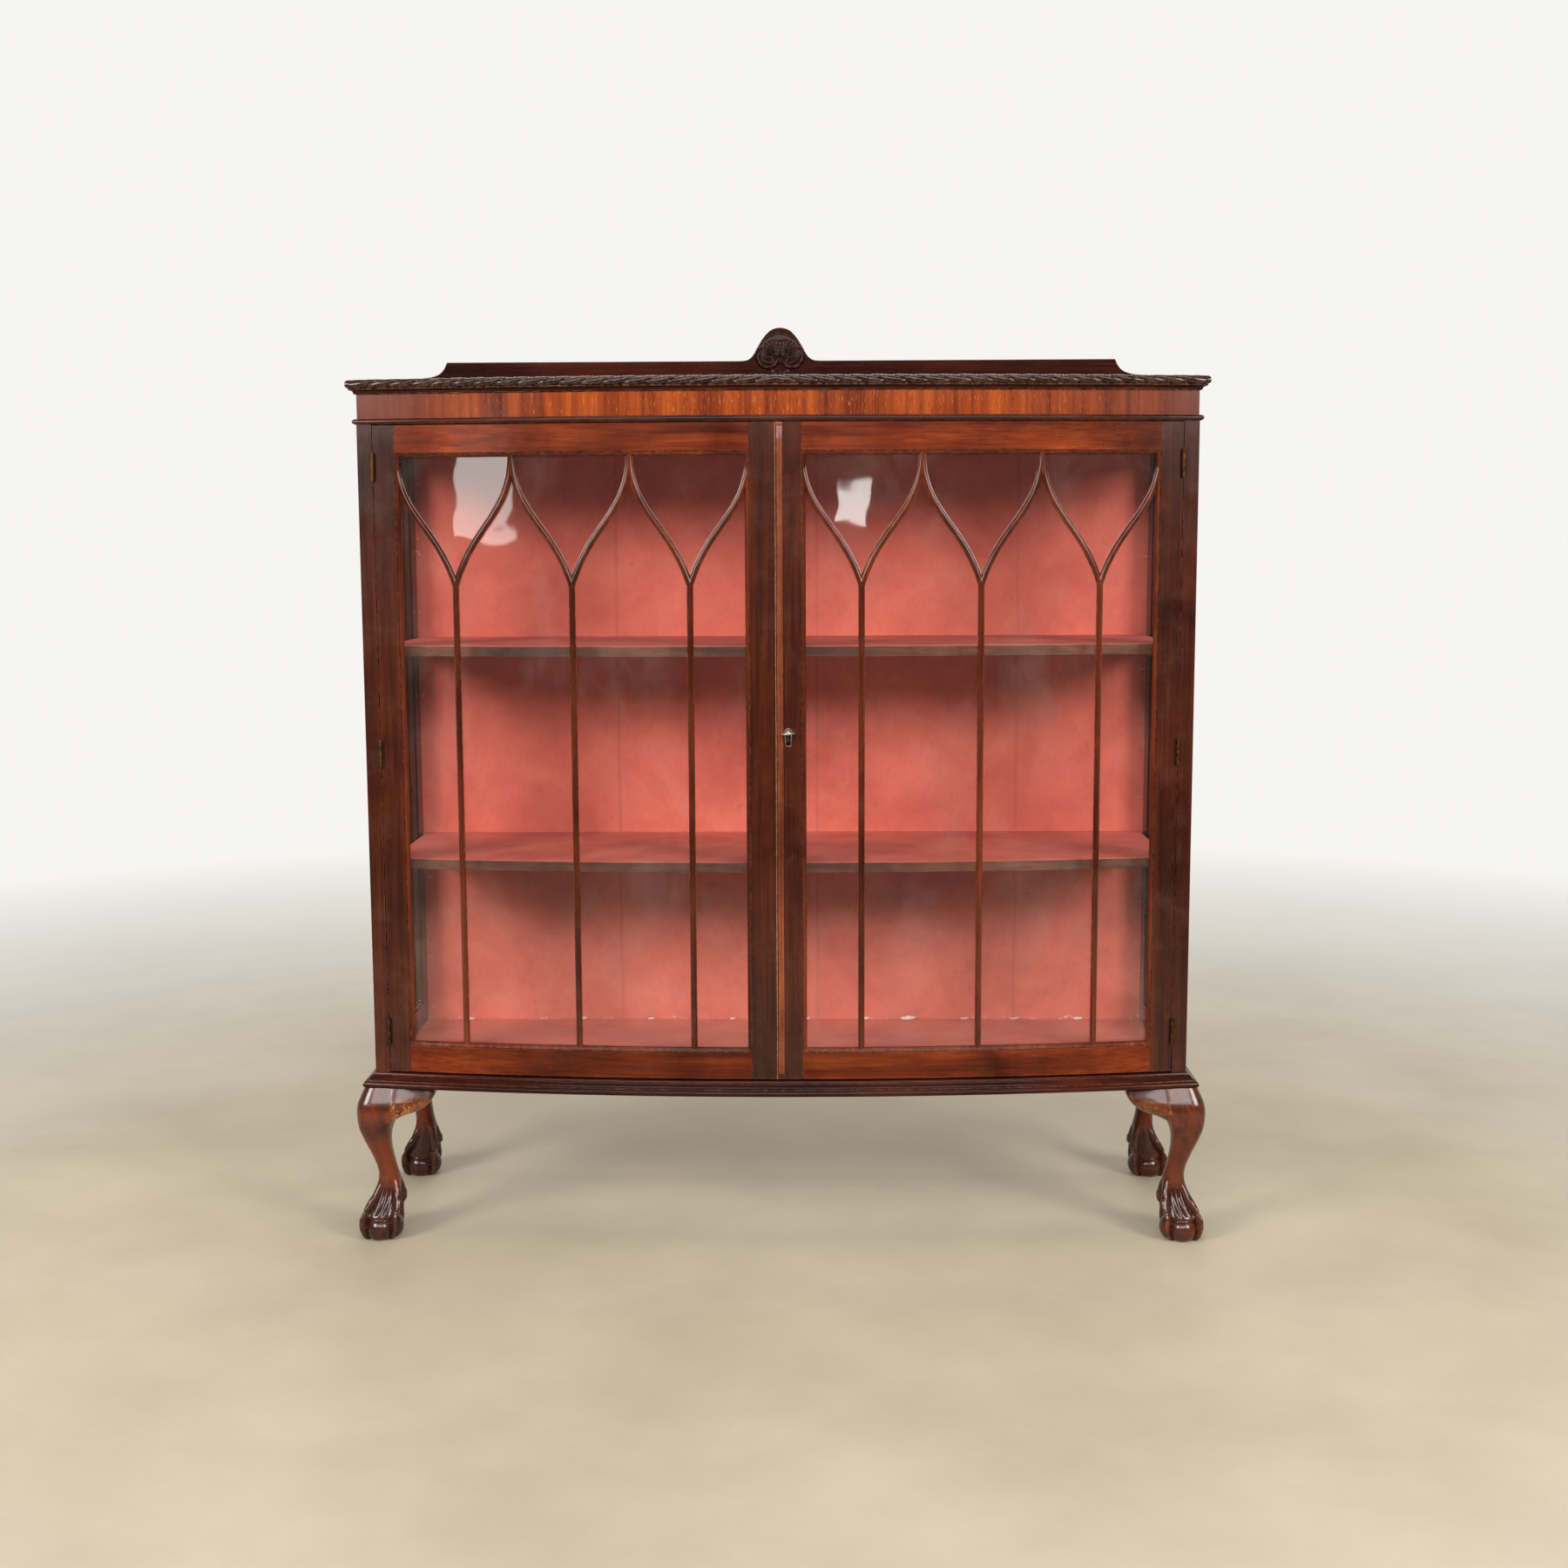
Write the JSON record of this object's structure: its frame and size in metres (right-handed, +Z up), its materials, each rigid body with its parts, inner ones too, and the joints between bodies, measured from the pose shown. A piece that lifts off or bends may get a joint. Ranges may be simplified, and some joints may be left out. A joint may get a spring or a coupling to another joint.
{
  "type": "china cabinet",
  "caption": "Bow-front display cabinet on ball-and-claw legs, with glazed fretwork doors, lined shelves, a gadroon top edge and a gallery back with a shell crest.",
  "frame": {"origin": "on the floor, below the centre of the overall box, so midway between the key and the backs of the rear legs", "axes": "+Z up, the doors face -Y, +X to the right of a person facing the doors"},
  "size_m": [1.2392, 0.4046, 1.341],
  "materials": {
    "mahogany": "satin",
    "dark_mahogany": "satin",
    "frieze_veneer": "satin",
    "leg_mahogany": "satin",
    "shelf_wood": "matte",
    "secondary_wood": "matte",
    "pink_lining": "matte",
    "clear_glass": "gloss",
    "aged_brass": "satin",
    "lock_iron": "matte",
    "key_metal": "satin"
  },
  "bodies": {
    "cabinet": {"top_board": "mahogany", "cornice_moulding": "dark_mahogany", "gadroon_edge": "dark_mahogany", "frieze_front": "frieze_veneer", "frieze_sides": "frieze_veneer", "bead_moulding": "dark_mahogany", "head_rail": "secondary_wood", "front_post_left": "mahogany", "front_post_right": "mahogany", "rear_posts": "mahogany", "side_rails": "mahogany", "side_glass_left": "clear_glass", "side_glass_right": "clear_glass", "side_glazing_beads": "mahogany", "back_boards": "secondary_wood", "back_lining": "pink_lining", "bottom_board": "secondary_wood", "board_linings": "pink_lining", "shelf_upper": "shelf_wood", "shelf_lower": "shelf_wood", "shelf_cleats": "secondary_wood", "base_frame": "secondary_wood", "base_moulding": "dark_mahogany", "gallery_board": "dark_mahogany", "shell_carving": "dark_mahogany", "leg_front_left": "leg_mahogany", "leg_front_right": "leg_mahogany", "leg_rear_left": "leg_mahogany", "leg_rear_right": "leg_mahogany", "knee_blocks": "leg_mahogany", "case_hinge_leaves": "aged_brass", "hinge_pins": "aged_brass", "case_hinge_screws": "aged_brass"},
    "left_door": {"left_hinge_stile": "mahogany", "left_meeting_stile": "mahogany", "left_door_rails": "mahogany", "left_glass": "clear_glass", "left_fretwork": "mahogany", "left_glazing_beads": "mahogany", "left_hinge_leaves": "aged_brass", "left_door_screws": "aged_brass", "strike_plate": "aged_brass", "surface_bolt_plates": "aged_brass"},
    "top_bolt": {"top_bolt": "aged_brass"},
    "bottom_bolt": {"bottom_bolt": "aged_brass"},
    "right_door": {"right_hinge_stile": "mahogany", "right_meeting_stile": "mahogany", "right_door_rails": "mahogany", "right_glass": "clear_glass", "right_fretwork": "mahogany", "right_glazing_beads": "mahogany", "right_hinge_leaves": "aged_brass", "right_door_screws": "aged_brass", "closing_bead": "dark_mahogany", "lock_case": "lock_iron", "escutcheon": "aged_brass"},
    "lock_bolt": {"lock_bolt": "aged_brass"},
    "key": {"key": "key_metal"}
  },
  "joints": [
    {"name": "left_door_hinge", "type": "hinge", "parent": "cabinet", "child": "left_door", "pos_m": [-0.568, -0.1313, 0.7165], "axis": [0, 0, -1], "range_deg": [0, 160]},
    {"name": "right_door_hinge", "type": "hinge", "parent": "cabinet", "child": "right_door", "pos_m": [0.568, -0.1313, 0.7165], "axis": [0, 0, 1], "range_deg": [0, 160]},
    {"name": "key_turn", "type": "hinge", "parent": "right_door", "child": "key", "pos_m": [0.0153, -0.1843, 0.75], "axis": [0, 1, 0], "range_deg": [0, 90]},
    {"name": "lock_bolt_slide", "type": "slide", "parent": "right_door", "child": "lock_bolt", "axis": [-1, 0, 0], "range_m": [0, 0.006]},
    {"name": "top_bolt_slide", "type": "slide", "parent": "left_door", "child": "top_bolt", "axis": [0, 0, 1], "range_m": [0, 0.01]},
    {"name": "bottom_bolt_slide", "type": "slide", "parent": "left_door", "child": "bottom_bolt", "axis": [0, 0, -1], "range_m": [0, 0.01]}
  ],
  "couplings": [
    {"joint": "lock_bolt_slide", "follows": "key_turn", "m_per_rad": 0.00381}
  ]
}
